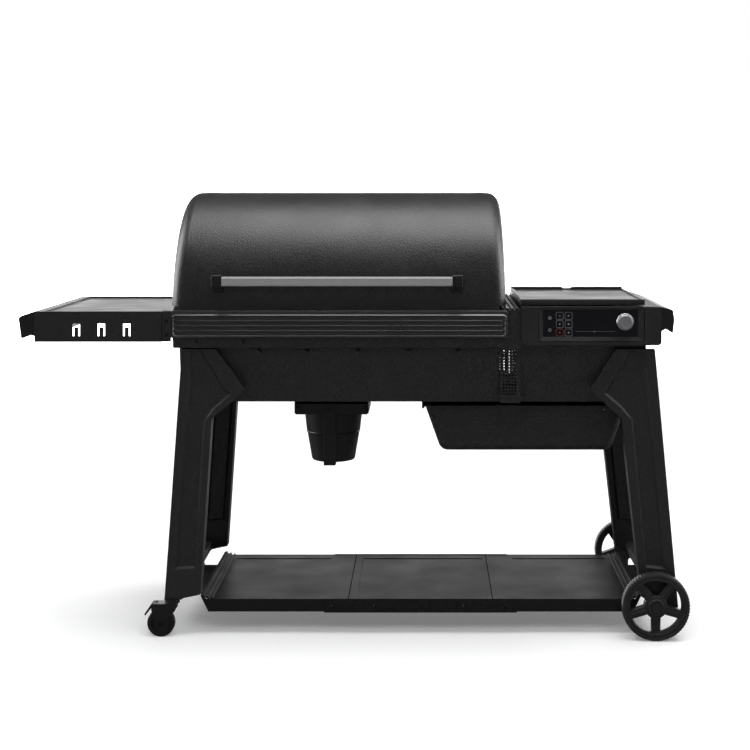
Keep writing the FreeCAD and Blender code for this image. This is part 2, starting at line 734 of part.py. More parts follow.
def hopper():
    upper = cut(box(("hopper_left", "hopper_right"), ("hopper_front", "hopper_back"),
                    ("hopper_base", "hopper_top")),
                box(("hopper_left + skin", "hopper_right - skin"),
                    ("hopper_front + skin", "hopper_back - skin"),
                    ("hopper_base - 5", "hopper_top - skin")),
                box((466, 784), (-206, 146), ("hopper_top - 10", "hopper_top + 10")))
    cabinet = pad("YZ", [("barrel_front + ledge_inset", "hopper_base"), *lower_profile("0"),
                         ("barrel_back", "hopper_base")], "hopper_left", "cabinet_right", "cabinet")
    cabinet = cut(cabinet, pad("YZ", [
        ("barrel_front + ledge_inset + skin", "hopper_base + 5"), *lower_profile("skin"),
        ("barrel_back - skin", "hopper_base + 5")], "hopper_left + skin", "cabinet_right - skin",
        "cabinet"),
        rod("X", 20.5, ("hopper_left - 10", "hopper_left + 10"), "fire_back", "auger_up"),
        box((520, 560), ("hopper_back - 10", "barrel_back + 10"), (700, 740)),
        box((604, 636), ("hopper_back - 10", "barrel_back + 10"), (700, 724)))
    upper = cut(upper, rod("Y", 5, "knob_across", ("hopper_front - 5", "hopper_front + 5"), "knob_up"))
    ledge = box(("hopper_left", "cabinet_right"), ("hopper_back - skin", "barrel_back"),
                ("hopper_base", "hopper_base + skin"))
    node("hopper_housing", fuse(upper, cabinet, ledge))
    top = ((472, 778), (-200, 140))
    inside = ((473.5, 776.5), (-198.5, 138.5))
    spout = (("feed_left", "feed_right"), ("fire_back - 14", "fire_back + 14"))
    throat = (("feed_left + 1.5", "feed_right - 1.5"), ("fire_back - 12.5", "fire_back + 12.5"))
    flange = box((462, 788), (-210, 150), ("hopper_top - skin - 1", "hopper_top - skin"), "flange")
    funnel = fuse(box(*top, (860, 905.5)), frustum(spout, top, "auger_up + 21", 860), flange)
    hole = fuse(box(*inside, (860, 915)), frustum(throat, inside, "auger_up + 20.9", 860.01))
    door_way = box((600, 680), (80, 160), (866, 892))
    node("hopper_bin", cut(funnel, hole, door_way))
    guard = cut(box((473.5, 776.5), (-198.5, 138.5), (861, 863)),
                *[box((x, x + 14), (-190, 130), (855, 870)) for x in range(486, 756, 22)])
    node("pellet_guard", guard)
    door = box((596, 684), (140.3, 142.3), (864, 894.5), "door")
    knuckle = cut(rod("X", 4, (610, 670), 145, 901), rod("X", 2.05, (600, 680), 145, 901))
    web = box((610, 670), (140.3, 143), (893, 901), "web")
    node("cleanout_door", cut(fuse(door, web, knuckle), rod("X", 2.05, (600, 680), 145, 901)))


def hopper_lid():
    left, right, front, back = "hopper_lid_left", "hopper_lid_right", "hopper_front", "hopper_lid_back"
    body = pad("XY", [(left, front), (right, front), (right, back), (left, back)],
               "hopper_lid_top - 15", "hopper_lid_top - 4", "hopper_lid")
    fillet(body, 8, along("Z"))
    hollow(body, 1.5, facing(0, 0, -1))
    rim = cut(box((f"{left} + 3", f"{right} - 3"), (f"{front} + 3", f"{back} - 3"),
                  ("hopper_lid_top - 4", "hopper_lid_top")),
              box((f"{left} + 10", f"{right} - 10"), (f"{front} + 10", f"{back} - 10"),
                  ("hopper_lid_top - 10", "hopper_lid_top + 10")))
    lips = [box(span, (f"{back} - 8", f"{back} - 3"), ("hopper_lid_top - 4", "hopper_lid_top + 4"))
            for span in ((f"{left} + 3", 611), (636, f"{right} - 3"))]
    knuckles = [cut(fuse(rod("X", 5, span, "hopper_lid_back + 7", "hopper_top + 8.5"),
                         box(span, ("hopper_lid_back - 1", "hopper_lid_back + 7"),
                             ("hopper_top + 7", "hopper_top + 11"))),
                    rod("X", 2.55, (480, 770), "hopper_lid_back + 7", "hopper_top + 8.5"))
                for span in ((510, 540), (710, 740))]
    node("hopper_lid", fuse(body, rim, *lips, *knuckles))
    pins = []
    for start in (496, 696):
        pin = rod("X", 2.5, (start, start + 58), "hopper_lid_back + 7", "hopper_top + 8.5")
        ears = [box(span, ("hopper_lid_back + 2", "hopper_lid_back + 12"),
                    ("hopper_top", "hopper_top + 13"))
                for span in ((start, start + 13), (start + 45, start + 58))]
        pins.append(fuse(pin, *ears))
    pins.append(fuse(rod("X", 2, (602, 678), 145, 901),
                     *[box(span, (140, 149), (897, 905)) for span in ((598, 609), (671, 682))]))
    return pins


def controls():
    body = pad("XZ", [("hopper_left", "hopper_base"), ("hopper_right", "hopper_base"),
                      ("hopper_right", "hopper_top"), ("hopper_left", "hopper_top")],
               "fascia_front", "hopper_front", "fascia")
    fillet(body, 12, near(along("Y"), z=SIZES["hopper_base"]))
    recess = pad("YZ", [("fascia_front - 2", "hopper_base + 8"), ("fascia_front + 7", "hopper_base + 17"),
                        ("fascia_front + 7", "hopper_top + 5"), ("fascia_front - 2", "hopper_top + 5")],
                 "display_left", "display_right", "recess")
    shaft_way = rod("Y", 5, "knob_across", ("fascia_front", "hopper_front + 5"), "knob_up")
    node("control_fascia", cut(body, recess, shaft_way))
    glass = box(("display_left + 11.5", "display_right - 16.5"), ("fascia_front + 5", "fascia_front + 7"),
                (825.5, 900), "glass")
    jack_ways = [rod("Y", 3.5, 531, ("fascia_front", "hopper_front"), up) for up in (878, 845)]
    node("display_glass", cut(glass,
                              rod("Y", 5, "knob_across", ("fascia_front", "hopper_front"), "knob_up"),
                              *jack_ways))
    jacks = [cut(fuse(rod("Y", 5, 531, ("fascia_front + 3.5", "fascia_front + 5"), up),
                      rod("Y", 3.4, 531, ("fascia_front + 3.5", "fascia_front + 7"), up)),
                 rod("Y", 1.8, 531, ("fascia_front", "fascia_front + 6.5"), up)) for up in (878, 845)]
    node("probe_jacks", group(*jacks))
    knob = fuse(rod("Y", 23.5, "knob_across", ("fascia_front - 3", "fascia_front + 4.7"), "knob_up"),
                rod("Y", 18, "knob_across", ("handle_front", "fascia_front - 3"), "knob_up"),
                rod("Y", 3, "knob_across", ("fascia_front + 4", "hopper_front + 4"), "knob_up"))
    node("control_knob", knob)
    board = fuse(box((520, 770), ("hopper_front + 6", "hopper_front + 7.6"), (815, 896)),
                 box(("knob_across - 8", "knob_across + 8"), ("hopper_front + 4.3", "hopper_front + 6"),
                     ("knob_up - 8", "knob_up + 8")),
                 *[box((x, x + 8), ("hopper_front + skin", "hopper_front + 6"), (890, 896))
                   for x in (524, 640)],
                 box((560, 600), ("hopper_front + 7.6", "hopper_front + 22"), (830, 860)))
    node("controller_board", board)
    inlet = fuse(box((604, 636), ("barrel_back - 20", "barrel_back"), (700, 724)),
                 box((596, 644), ("barrel_back", "barrel_back + 3"), (692, 732)))
    node("power_inlet", cut(inlet, box((608, 632), ("barrel_back - 14", "barrel_back + 6"), (704, 720))))


# ---------------------------------------------------------------- keg and storage bin
def keg():
    left, right = "pot_across - collar_half", "pot_across + collar_half"
    front, back = "fire_back - 90", "fire_back + 92"
    collar = cut(box((left, right), (front, back), ("keg_top - 4", "barrel_base")),
                 box((f"{left} + 3", f"{right} - 3"), (f"{front} - 5", f"{back} - 3"),
                     ("keg_top - gap", "barrel_base - 4")),
                 box((f"{left} + 13", f"{right} - 13"), (f"{front} - 5", f"{back} - 3"),
                     ("keg_top - 10", "keg_top + 2")),
                 rod("Z", 45, "pot_across", "fire_back", ("barrel_base - 10", "barrel_base + 10")))
    node("keg_collar", collar)
    cup = revolve([("0", "keg_base"), ("keg_radius - 25", "keg_base"), ("keg_radius - 22", "keg_base + 3"),
                   ("keg_radius - 8.5", 524), ("keg_radius - 7", 527), ("keg_radius", "keg_top"),
                   ("keg_radius - skin", "keg_top"), ("keg_radius - 9", 527),
                   ("keg_radius - 24", "keg_base + 3"),
                   ("0", "keg_base + 3")], ("pot_across", "fire_back", "0"))
    flange = cut(box((f"{left} + 3.4", f"{right} - 3.4"), (f"{front} - gap", f"{back} - 3.4"),
                     ("keg_top", "keg_top + 3")),
                 rod("Z", "keg_radius - skin", "pot_across", "fire_back", ("keg_top - 5", "keg_top + 10")))
    face = box((f"{left} + 3.4", f"{right} - 3.4"), (f"{front} - 3", f"{front} - gap"),
               ("keg_top - 6", "keg_top + 24"))
    node("keg_bucket", fuse(cup, flange, face))
    strap = fuse(box(("pot_across - 22", "pot_across + 12"), (f"{front} - 6", f"{front} - 3"),
                     ("keg_base - 3", "keg_top + 10")),
                 box(("pot_across - 22", "pot_across + 12"), (f"{front} - 3", "fire_back - 20"),
                     ("keg_base - 3", "keg_base")))
    node("keg_strap_handle", strap)


def bin_block(inset, rise):
    """The bin's tapered form, drawn inset from its outside and carried up past the rim by a rise."""
    body = pad("XZ", [
        (f"bin_left + {inset} - {rise} * 0.36", f"bin_top + {rise}"),
        (f"bin_left + 46 + {inset}", f"bin_base + {inset}"),
        (f"bin_right - 46 - {inset}", f"bin_base + {inset}"),
        (f"bin_right - {inset} + {rise} * 0.36", f"bin_top + {rise}"),
    ], f"bin_front + {inset}", f"bin_back - {inset}", "bin")
    return fillet(body, f"28 - {inset}", lambda edge: edge.CenterOfMass.z < SIZES["bin_top"] - 3)


def storage_bin():
    body = cut(bin_block("0", "0"), bin_block("skin", "1"))
    flange = cut(box(("bin_left - 4", "bin_right + 4"), ("bin_front - 4", "bin_back + 4"),
                     ("bin_top - 3", "bin_top")),
                 box(("bin_left + 3", "bin_right - 3"), ("bin_front + 3", "bin_back - 3"),
                     ("bin_top - 10", "bin_top + 5")))
    node("storage_bin", fuse(body, flange))
    rails = []
    for wall, foot in ((("bin_left - 8", "bin_left - 5"), ("bin_left - 8", "bin_left - 1")),
                       (("bin_right + 5", "bin_right + 8"), ("bin_right + 1", "bin_right + 8"))):
        rails.append(fuse(box(wall, ("bin_front", "bin_back"), ("bin_top - 8", "barrel_base")),
                          box(foot, ("bin_front", "bin_back"), ("bin_top - 8", "bin_top - 3 - gap"))))
    stop = box(("bin_left - 8", "bin_right + 8"), ("bin_back + 5", "bin_back + 8"),
               ("bin_top - 8", "barrel_base"))
    node("bin_rails", group(rails[0], fuse(rails[1], stop)))


# ---------------------------------------------------------------- legs and bottom shelf
LEFT_LEG = {
    "outline": [(-474.5, "leg_top"), (-522, "leg_base"), (-473, "leg_base"), (-424.3, 117), (-393, 600),
                (-333.5, 648),
                (-302, 680.5), (-380.5, "leg_top")],
    "recess": [(-452, "leg_top - 4"), (-421, "leg_top - 4"), (-356, 681), (-338, 667), (-384, 627),
               (-411, 593),
               (-438, 190), (-493, 186)],
    "bend": (-393, 600),
}
RIGHT_LEG = {
    "outline": [(821.7, "leg_top"), (885.5, 82), (829, 82), (784.5, 112), (731, 600), (676, 648),
                (644.5, 681),
                (714, "leg_top")],
    "recess": [(794, "leg_top - 4"), (755, "leg_top - 4"), (693, 682), (683, 668), (727, 630), (757, 596),
               (796, 192), (850, 186)],
    "bend": (731, 600),
}
RECESS_DEPTH = 7


def leg(form):
    """A front leg: pressed sheet with a return flange, a gusset and a sunk panel with sloping sides."""
    body = pad("XZ", form["outline"], "-leg_front", "leg_depth - leg_front", "leg")
    across, up = form["bend"]
    fillet(body, 24, near(along("Y"), x=across, z=up))
    hollow(body, "skin", facing(0, 1, 0))

    def sunk(start, end, deep):
        block = pad("XZ", form["recess"], start, end, "panel")
        return chamfer(block, RECESS_DEPTH - 1, lambda edge: abs(edge.CenterOfMass.y - deep) < 0.1)

    panel = sunk("-leg_front", f"{RECESS_DEPTH} + skin - leg_front", RECESS_DEPTH + SIZES["skin"])
    void = sunk("-leg_front - 1", f"{RECESS_DEPTH} - leg_front", RECESS_DEPTH + 1)
    relief = box((-600, 1000), ("14 - leg_front", 0), (606, 900))
    return cut(fuse(body, panel), void, relief)


def legs():
    front = [leg(LEFT_LEG), leg(RIGHT_LEG)]
    node("front_legs", group(*front))
    node("rear_legs", group(*[mirrored(piece, Vector(0, 1, 0)) for piece in front]))
    span = ("leg_depth - leg_front", "leg_front - leg_depth")
    bars = [box((x, x + 25), span, ("leg_base", "leg_base + 25"), "cross_bar") for x in (-498, 815.5)]
    node("leg_cross_bars", group(*bars))


def bottom_shelf():
    """A deck of three panels with turned-down skirts: ribbed ends that climb to the legs, and a sunk field
    in each panel."""
    deck_low = "deck_top - skin"
    depth = ("tray_front + skin", "tray_back - skin")
    skirt_outline = [("tray_left", "leg_base"), ("tray_left + 22", "tray_base"),
                     ("tray_right - 22", "tray_base"),
                     ("tray_right", "leg_base"), ("tray_right - 6", "leg_base"),
                     ("deck_right + 12", "tray_top"),
                     ("deck_left - 12", "tray_top"), ("tray_left + 6", "leg_base")]
    skirts = [pad("XZ", skirt_outline, start, f"{start} + skin", "skirt")
              for start in ("tray_front", "tray_back - skin")]
    deck = pad("XZ", [("tray_left", "leg_base - skin"), ("deck_left", deck_low), ("deck_right", deck_low),
                      ("tray_right", "leg_base - skin"), ("tray_right", "leg_base"),
                      ("deck_right", "deck_top"),
                      ("deck_left", "deck_top"), ("tray_left", "leg_base")], *depth, "deck")
    fields = [box(span, (-225, 170), ("deck_top - 1.2", "deck_top + 5"))
              for span in ((-385, -94), (3, 369), (458, 745))]
    whole = cut(fuse(deck, *skirts), *fields)

    def part(span):
        return common(whole, box(span, ("tray_front - 5", "tray_back + 5"), (50, 120)))

    def ribs(places):
        return [pad("XZ", [(x - 3, low), (x + 3, low), (x + 3, low + 4.5), (x + 1.5, low + 6),
                           (x - 1.5, low + 6), (x - 3, low + 4.5)], *depth, "rib") for x, low in places]

    left = [(-421, 103), (-409, 99), (-397, 96)]
    right = [(781.5, 103), (769.5, 99), (757.5, 96)]
    tabs = [box(span, (-230, 60), ("leg_base - skin", "leg_base")) for span in
            ((-498, "tray_left + 0.5"), ("tray_right - 0.5", 840.5))]
    ends = [fuse(part(("tray_left - 5", -20)), *ribs(left), tabs[0]),
            fuse(part((378, "tray_right + 5")), *ribs(right), tabs[1])]
    node("shelf_end_panels", group(*ends))
    splices = [box((-87, 445), span, ("tray_base - 2.5", "tray_top + 1"))
               for span in (("tray_front - 2", "tray_front"), ("tray_back", "tray_back + 2"))]
    node("shelf_centre_panel", fuse(part((-20, 378)), *splices))


# ---------------------------------------------------------------- wheels and casters
def big_wheel():
    """One moulded wheel with five spokes, its axis along Y, outer face at the front."""
    x, z, span = "wheel_across", "wheel_radius", ("-wheel_face", "wheel_width - wheel_face")
    rim = cut(rod("Y", "wheel_radius", x, span, z), rod("Y", "wheel_radius - 22", x, span, z))
    hub = rod("Y", 27, x, span, z)
    spokes = []
    for number in range(5):
        turned = Rotation(Vector(0, 1, 0), 90.0 + 72.0 * number)
        corner = turned.multVec(Vector(0, 0, -9))
        spoke = doc.addObject("Part::Box", fresh("spoke"))
        spoke.Length, spoke.Width, spoke.Height = 74, 22, 18
        spoke.Placement = Placement(Vector(), turned)
        spoke.setExpression("Placement.Base.x", bound(f"wheel_across + {corner.x}"))
        spoke.setExpression("Placement.Base.y", bound("6 - wheel_face"))
        spoke.setExpression("Placement.Base.z", bound(f"wheel_radius + {corner.z}"))
        spokes.append(spoke)
    return cut(fuse(rim, hub, *spokes), rod("Y", "axle_radius + 0.05", x, ("-wheel_face - 5", -200), z))


def wheels():
    front = node("wheel_front", big_wheel())
    node("wheel_rear", mirrored(front, Vector(0, 1, 0)))
    axle = fuse(rod("Y", "axle_radius", "wheel_across", (-317.2, "-leg_front"), "wheel_radius"),
                rod("Y", 11, "wheel_across", (-317.5, "-wheel_face - 0.3"), "wheel_radius"),
                box(("wheel_across - 24", "wheel_across + 24"),
                    ("wheel_width - wheel_face + 0.5", "-leg_front"),
                    (70, 180)))
    node("wheel_axles", group(axle, mirrored(axle, Vector(0, 1, 0))))


def caster():
    """One caster under a front leg: plate with its pivot, swivel fork, wheel and brake pedal."""
    x, y = "caster_across", "-caster_back"
    wheel_x = "caster_across - caster_trail"
    plate = fuse(box((f"{x} - 19", f"{x} + 30"), (f"{y} - 16", f"{y} + 24"), ("leg_base - 3", "leg_base"),
                     "plate"),
                 rod("Z", 5, x, y, (84, "leg_base - 3")))
    crown = rod("Z", 21, x, y, (92, "leg_base - 3.6"))
    roof = box((f"{x} - 40", f"{x} + 14"), (f"{y} - 17", f"{y} + 17"), (88, 92))
    cheeks = [pad("XZ", [(f"{x} + 14", 92), (f"{x} - 53", 92), (f"{x} - 55", 76), (f"{x} - 42", 30),
                         (f"{x} - 22", 30), (f"{x} + 12", 76)], f"{y} + {start}", f"{y} + {start + 3}",
                         "cheek")
              for start in (-17, 14)]
    pin = rod("Y", 4, wheel_x, (f"{y} - 14", f"{y} + 14"), "caster_radius")
    pedal_x, pedal_z = f"{x} - 47", 85
    pedal_pin = rod("Y", 2, pedal_x, (f"{y} - 14", f"{y} + 14"), pedal_z)
    fork = cut(fuse(crown, roof, *cheeks, pin, pedal_pin), rod("Z", 5.05, x, y, (80, 110)))
    wheel = cut(fuse(rod("Y", "caster_radius", wheel_x, (f"{y} - 12", f"{y} + 12"), "caster_radius"),
                     rod("Y", 9, wheel_x, (f"{y} - 13.7", f"{y} + 13.7"), "caster_radius")),
                rod("Y", 4.05, wheel_x, (f"{y} - 20", f"{y} + 20"), "caster_radius"))
    pedal = cut(pad("XZ", [(f"{x} - 44", 90), (f"{x} - 54", 93), (f"{x} - 75", 62), (f"{x} - 72", 58),
                           (f"{x} - 55", 80), (f"{x} - 44", 80)], f"{y} - 11", f"{y} + 11", "pedal"),
                rod("Y", 2.05, pedal_x, (f"{y} - 20", f"{y} + 20"), pedal_z))
    return plate, fork, wheel, pedal


def casters():
    plate, fork, wheel, pedal = caster()
    flip = Vector(0, 1, 0)
    node("caster_plates", group(plate, mirrored(plate, flip)))
    for label, piece in (("fork", fork), ("wheel", wheel), ("pedal", pedal)):
        node(f"caster_{label}_front", piece)
        node(f"caster_{label}_rear", mirrored(piece, flip))


# ---------------------------------------------------------------- back and small parts
def back_parts():
    hood = cut(box(("pot_across - 165", "pot_across + 165"), ("barrel_back", "barrel_back + 38"),
                   (860, 962)),
               box(("pot_across - 162", "pot_across + 162"), ("barrel_back - 5", "barrel_back + 35"),
                   (850, 959)))
    node("exhaust_duct", hood)
    node("temperature_sensor", rod("X", 3, ("liner_left + 1.5", "liner_left + 60"), 100, 870))
    gasket = cut(box(("barrel_left + 3", "barrel_right - 3"), ("barrel_front + 3", "side_notch - 12"),
                     ("flange_top", "lid_base - gap")),
                 box(("barrel_left + 11", "barrel_right - 11"), ("barrel_front + 11", "side_notch"),
                     ("flange_top - 5", "flange_top + 10")))
    node("lid_gasket", gasket)


def screws():
    """Pan-head screws on the band, the shelf bracket, the bottom shelf and the rails' ends."""
    def head(x, y, z, radius=4.5):
        return rod("Y", radius, x, (f"{y} - 2.4", y), z, "screw")

    heads = [head(x, "barrel_front", 812) for x in (-431, -303)]
    heads += [head(-511, "side_rail_front + 6", z) for z in (832, 869)]
    heads += [head(x, "tray_front - 2", 80, 4) for x in (-61, 55, 301, 415)]
    node("body_screws", group(*heads))


def build():
    barrel()
    barrel_ends()
    liner()
    baffle_and_tray()
    grate("lower_grate", "838", ("-228", "228"), 30)
    grate("upper_grate", "984.3", ("-90", "125"), 30)
    fire_system()
    blower()
    lid()
    handle()
    front_rail()
    side_rails()
    side_shelf()
    gap_parts()
    hopper()
    node("hinge_pins", group(*lid_hinges(), *hopper_lid()))
    controls()
    keg()
    storage_bin()
    legs()
    bottom_shelf()
    wheels()
    casters()
    back_parts()
    screws()


def check_and_export():
    doc.recompute()
    for thing in doc.Objects:
        faults = [state for state in thing.State if state in ("Invalid", "Error")]
        assert not faults, f"{thing.Name} is {faults}"
    os.makedirs("parts", exist_ok=True)
    for shape in NODES:
        solid = shape.Shape
        assert not solid.isNull() and solid.isValid(), f"{shape.Label} has a bad shape"
        solid.exportStep(f"parts/{shape.Label}.step")
        box_size = solid.BoundBox
        print(shape.Label, len(solid.Solids), [round(v, 1) for v in (
            box_size.XMin, box_size.YMin, box_size.ZMin, box_size.XMax, box_size.YMax, box_size.ZMax)])
    print(len(NODES), "nodes")


build()
check_and_export()
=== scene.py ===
import json
import math

import bmesh
import bpy
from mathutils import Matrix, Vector


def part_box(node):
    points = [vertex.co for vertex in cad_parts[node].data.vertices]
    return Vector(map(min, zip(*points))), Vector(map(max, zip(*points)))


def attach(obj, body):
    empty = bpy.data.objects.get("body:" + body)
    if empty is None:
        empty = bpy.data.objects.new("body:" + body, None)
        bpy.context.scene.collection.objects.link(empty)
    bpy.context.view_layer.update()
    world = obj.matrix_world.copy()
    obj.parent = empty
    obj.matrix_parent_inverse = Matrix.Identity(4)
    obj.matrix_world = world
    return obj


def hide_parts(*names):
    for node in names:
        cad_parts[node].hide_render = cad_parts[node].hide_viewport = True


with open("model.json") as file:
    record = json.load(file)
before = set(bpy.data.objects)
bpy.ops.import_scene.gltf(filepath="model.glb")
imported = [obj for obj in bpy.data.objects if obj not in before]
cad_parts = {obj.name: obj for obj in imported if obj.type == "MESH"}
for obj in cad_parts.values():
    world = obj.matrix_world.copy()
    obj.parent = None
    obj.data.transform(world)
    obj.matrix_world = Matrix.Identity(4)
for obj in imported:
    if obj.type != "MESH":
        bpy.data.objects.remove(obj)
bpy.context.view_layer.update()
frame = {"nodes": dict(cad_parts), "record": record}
MM = 0.001
WHITE = (1, 1, 1, 1)

# ---------------------------------------------------------------- camera, stage and light, in metres
EYE_PLACE = (0.1945, -4.042, 1.226)
LENS = 65.95
SENSOR = 36.0
FRAME_SHIFT = (-0.068, -0.2467)
VIEW_DEPTH = 60.0

FLOOR_PLACE, FLOOR_SIZE, FLOOR_GLOW = (0, 2, 0), (40, 30), 0.16
WALL_PLACE, WALL_SIZE, WALL_GLOW = (0, 6.5, 1.05), (24, 2.1), 2.8
MATTE = 0.9
ROOM_COLOR, ROOM_GLOW = (0.95, 0.97, 1, 1), 0.12

# name, place, target, size, power in watts, and the one kind of ray that meets the light
LIGHTS = (
    ("sky", (0.2, 0.2, 4.6), (0.2, 0.2, 0), (6.0, 5.0), 340, "diffuse"),
    ("front_fill", (0.2, -3.8, 3.2), (0.1, -0.6, 0), (4.0, 1.6), 72, "diffuse"),
    ("lid_softbox", (0.45, -0.26, 3.3), (0.45, -0.26, 0), (2.8, 1.8), 82, "glossy"),
    ("left_card", (-4.0, 0.3, 2.3), (0, 0.1, 1.0), (2.6, 4.0), 250, "glossy"),
    ("right_card", (4.2, 0.3, 2.3), (0.2, 0.1, 1.0), (2.6, 4.0), 210, "glossy"),
)


def camera():
    """Level camera a little above the lid, straight on, its frame shifted down and to one side."""
    data = bpy.data.cameras.new("camera")
    data.sensor_width = SENSOR
    data.lens = LENS
    data.shift_x, data.shift_y = FRAME_SHIFT
    data.clip_end = VIEW_DEPTH
    eye = bpy.data.objects.new("camera", data)
    eye.location = EYE_PLACE
    eye.rotation_euler = (math.radians(90), 0, 0)
    bpy.context.scene.collection.objects.link(eye)
    bpy.context.scene.camera = eye


def sheet_plane(name, centre, size, tilt, material):
    """A flat rectangle of the stage, tilted about X."""
    mesh = bpy.data.meshes.new(name)
    half_x, half_y = size[0] / 2, size[1] / 2
    corners = [(-half_x, -half_y, 0), (half_x, -half_y, 0), (half_x, half_y, 0), (-half_x, half_y, 0)]
    mesh.from_pydata(corners, [], [(0, 1, 2, 3)])
    mesh.materials.append(material)
    plane = bpy.data.objects.new(name, mesh)
    plane.location = centre
    plane.rotation_euler = (math.radians(tilt), 0, 0)
    bpy.context.scene.collection.objects.link(plane)
    return plane


def area_light(name, place, target, size, power, met_by):
    data = bpy.data.lights.new(name, "AREA")
    data.shape = "RECTANGLE"
    data.size, data.size_y = size
    data.energy = power
    light = bpy.data.objects.new(name, data)
    light.location = place
    light.rotation_euler = (Vector(target) - Vector(place)).to_track_quat("-Z", "Y").to_euler()
    light.visible_diffuse = met_by == "diffuse"
    light.visible_glossy = met_by == "glossy"
    bpy.context.scene.collection.objects.link(light)


def studio_world():
    """A dim grey room that shows as white behind the object."""
    world = bpy.data.worlds.new("studio")
    world.use_nodes = True
    nodes, links = world.node_tree.nodes, world.node_tree.links
    room = nodes["Background"]
    room.inputs["Color"].default_value = ROOM_COLOR
    room.inputs["Strength"].default_value = ROOM_GLOW
    white = nodes.new("ShaderNodeBackground")
    white.inputs["Color"].default_value = WHITE
    white.inputs["Strength"].default_value = 1.0
    choice = nodes.new("ShaderNodeMixShader")
    ray = nodes.new("ShaderNodeLightPath")
    links.new(ray.outputs["Is Camera Ray"], choice.inputs[0])
    links.new(room.outputs["Background"], choice.inputs[1])
    links.new(white.outputs["Background"], choice.inputs[2])
    links.new(choice.outputs["Shader"], nodes["World Output"].inputs["Surface"])
    bpy.context.scene.world = world


def glowing(name, whiteness, glow):
    """A matte white for the stage, lit a little from within."""
    return new_material(name, (whiteness,) * 3, MATTE, Specular_IOR_Level=0.0, Emission_Color=WHITE,
                        Emission_Strength=glow)


def stage():
    """White floor and backdrop. The sky light makes the shadow and the softbox makes the lid's band."""
    floor = sheet_plane("stage_floor_plane", FLOOR_PLACE, FLOOR_SIZE, 0,
                        glowing("stage_floor", 0.92, FLOOR_GLOW))
    floor.visible_glossy = False
    sheet_plane("stage_backdrop", WALL_PLACE, WALL_SIZE, 90, glowing("stage_wall", 0.95, WALL_GLOW))
    for light in LIGHTS:
        area_light(*light)
    studio_world()
    bpy.context.scene.view_settings.view_transform = "Standard"


# ---------------------------------------------------------------- materials
def new_material(name, color, roughness, metallic=0.0, **settings):
    """A principled material; each other setting is named after its socket."""
    material = bpy.data.materials.new(name)
    material.use_nodes = True
    shader = material.node_tree.nodes["Principled BSDF"]
    shader.inputs["Base Color"].default_value = (*color, 1)
    shader.inputs["Roughness"].default_value = roughness
    shader.inputs["Metallic"].default_value = metallic
    for setting, number in settings.items():
        shader.inputs[setting.replace("_", " ")].default_value = number
    return material


def noise(material, scale, detail=2.0, stretch=(1, 1, 1)):
    """A noise texture in the object's own coordinates, in metres."""
    nodes, links = material.node_tree.nodes, material.node_tree.links
    place = nodes.new("ShaderNodeTexCoord")
    mapping = nodes.new("ShaderNodeMapping")
    mapping.inputs["Scale"].default_value = stretch
    texture = nodes.new("ShaderNodeTexNoise")
    texture.inputs["Scale"].default_value = scale
    texture.inputs["Detail"].default_value = detail
    links.new(place.outputs["Object"], mapping.inputs["Vector"])
    links.new(mapping.outputs["Vector"], texture.inputs["Vector"])
    return texture.outputs["Fac"]


def ranged(material, source, low, high):
    """The source's middle range spread between two values."""
    nodes, links = material.node_tree.nodes, material.node_tree.links
    spread = nodes.new("ShaderNodeMapRange")
    spread.inputs["From Min"].default_value = 0.3
    spread.inputs["From Max"].default_value = 0.7
    spread.inputs["To Min"].default_value = low
    spread.inputs["To Max"].default_value = high
    links.new(source, spread.inputs["Value"])
    return spread.outputs["Result"]


def roughened(material, source, low, high):
    """The roughness varied between two values."""
    nodes, links = material.node_tree.nodes, material.node_tree.links
    links.new(ranged(material, source, low, high), nodes["Principled BSDF"].inputs["Roughness"])


def tinted(material, source, color, darkest, lightest):
    """The base colour varied between two multiples of a colour."""
    nodes, links = material.node_tree.nodes, material.node_tree.links
    mix = nodes.new("ShaderNodeMix")
    mix.data_type = "RGBA"
    for socket, times in (("A", darkest), ("B", lightest)):
        mix.inputs[socket].default_value = (*(min(1, part * times) for part in color), 1)
    links.new(ranged(material, source, 0, 1), mix.inputs["Factor"])
    links.new(mix.outputs["Result"], nodes["Principled BSDF"].inputs["Base Color"])


def bumped(material, *layers):
    """Chains bump layers of (height source, strength, depth in metres)."""
    nodes, links = material.node_tree.nodes, material.node_tree.links
    last = None
    for source, strength, depth in layers:
        bump = nodes.new("ShaderNodeBump")
        bump.inputs["Strength"].default_value = strength
        bump.inputs["Distance"].default_value = depth
        links.new(source, bump.inputs["Height"])
        if last:
            links.new(last, bump.inputs["Normal"])
        last = bump.outputs["Normal"]
    links.new(last, nodes["Principled BSDF"].inputs["Normal"])


def powder_coat(name, shade, roughness, grain, specular=0.5):
    """Black powder coat: an orange peel with a finer grain, a cloudy gloss and a little colour drift."""
    fine_scale, peel_scale, cloud_scale = 900, 270, 9
    fine_depth, peel_depth = 0.0003, 0.0011
    material = new_material(name, (shade, shade, shade * 1.03), roughness, IOR=1.5,
                            Specular_IOR_Level=specular)
    fine = noise(material, fine_scale, 3)
    peel = noise(material, peel_scale)
    cloud = noise(material, cloud_scale)
    bumped(material, (peel, 0.55 * grain, peel_depth), (fine, 0.5 * grain, fine_depth))
    roughened(material, cloud, roughness - 0.04, roughness + 0.05)
    drift = min(1.0, grain)
    tinted(material, peel, (shade,) * 3, 1 - 0.75 * drift, 1 + 1.4 * drift)
    return material


def brushed(name, color, roughness, stretch):
    """Brushed metal: long scratches along one axis."""
    scratch_scale, scratch_depth = 60, 0.0001
    material = new_material(name, color, roughness, 1.0)
    lines = noise(material, scratch_scale, 6, stretch)
    bumped(material, (lines, 0.25, scratch_depth))
    roughened(material, lines, roughness - 0.07, roughness + 0.1)
    tinted(material, lines, color, 0.85, 1.1)
    return material


